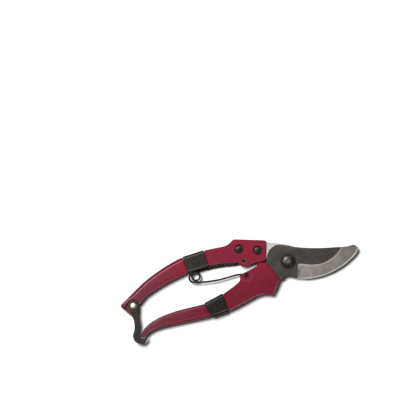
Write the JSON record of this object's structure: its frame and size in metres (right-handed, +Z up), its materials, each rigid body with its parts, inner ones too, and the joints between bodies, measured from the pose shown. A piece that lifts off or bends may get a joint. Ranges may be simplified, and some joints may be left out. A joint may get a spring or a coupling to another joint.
{
  "type": "pruning shears",
  "caption": "Bypass pruning shears: a curved cutting blade passes a hooked counter blade, with coated metal handles, grip bands, a wire spring and a swinging hook latch.",
  "frame": {"origin": "on the pivot axis, at the flat end of the pivot bolt, which is in the plane that the closed shears lie on", "axes": "+X along the shears from the pivot towards the blades, +Z up out of the side with the cutting blade and the bolt's domed head, +Y towards the handle that holds the counter blade and the latch"},
  "size_m": [0.2044, 0.0572, 0.0146],
  "materials": {
    "coated_handle": "satin coloured coating on cast aluminium",
    "grip_band": "matt black band",
    "coated_blade": "dark low-friction coating with a bright ground bevel",
    "polished_steel": "bright ground steel",
    "black_steel": "black oxide",
    "spring_wire": "oil-blackened spring wire",
    "nickel_rivet": "nickel plate",
    "zinc_steel": "zinc plate"
  },
  "bodies": {
    "upper_half": {"upper_handle": "coated_handle", "upper_grip_band": "grip_band", "counter_blade": "polished_steel", "handle_screw_front": "black_steel", "handle_screw_rear": "black_steel", "handle_nut_front": "zinc_steel", "handle_nut_rear": "zinc_steel", "pivot_bolt": "black_steel", "pivot_washer": "black_steel", "nut_washer": "zinc_steel", "pivot_nut": "zinc_steel", "latch_rivet": "nickel_rivet", "latch_washer": "black_steel"},
    "lower_half": {"lower_handle": "coated_handle", "lower_grip_band": "grip_band", "cutting_blade": "coated_blade", "blade_screw_front": "black_steel", "blade_screw_rear": "black_steel"},
    "latch": {"latch": "black_steel"},
    "spring_upper": {"spring_upper_leg": "spring_wire"},
    "spring_lower": {"spring_lower_leg": "spring_wire"}
  },
  "joints": [
    {"name": "blade_pivot", "type": "hinge", "parent": "upper_half", "child": "lower_half", "pos_m": [0, 0, 0], "axis": [0, 0, 1], "range_deg": [0, 40]},
    {"name": "latch_swing", "type": "hinge", "parent": "upper_half", "child": "latch", "pos_m": [-0.1349, 0.0089, 0], "axis": [0, 0, 1], "range_deg": [-60, 0]},
    {"name": "spring_upper_swing", "type": "hinge", "parent": "upper_half", "child": "spring_upper", "pos_m": [-0.035, 0.0127, 0], "axis": [0, 0, 1], "range_deg": [0, 38]},
    {"name": "spring_coil_wind", "type": "hinge", "parent": "spring_upper", "child": "spring_lower", "pos_m": [-0.0772, 0.0141, 0], "axis": [0, 0, 1], "range_deg": [-35, 0]}
  ],
  "couplings": [
    {"joint": "spring_upper_swing", "follows": "blade_pivot", "ratio": 0.93},
    {"joint": "spring_coil_wind", "follows": "blade_pivot", "ratio": -0.865}
  ]
}
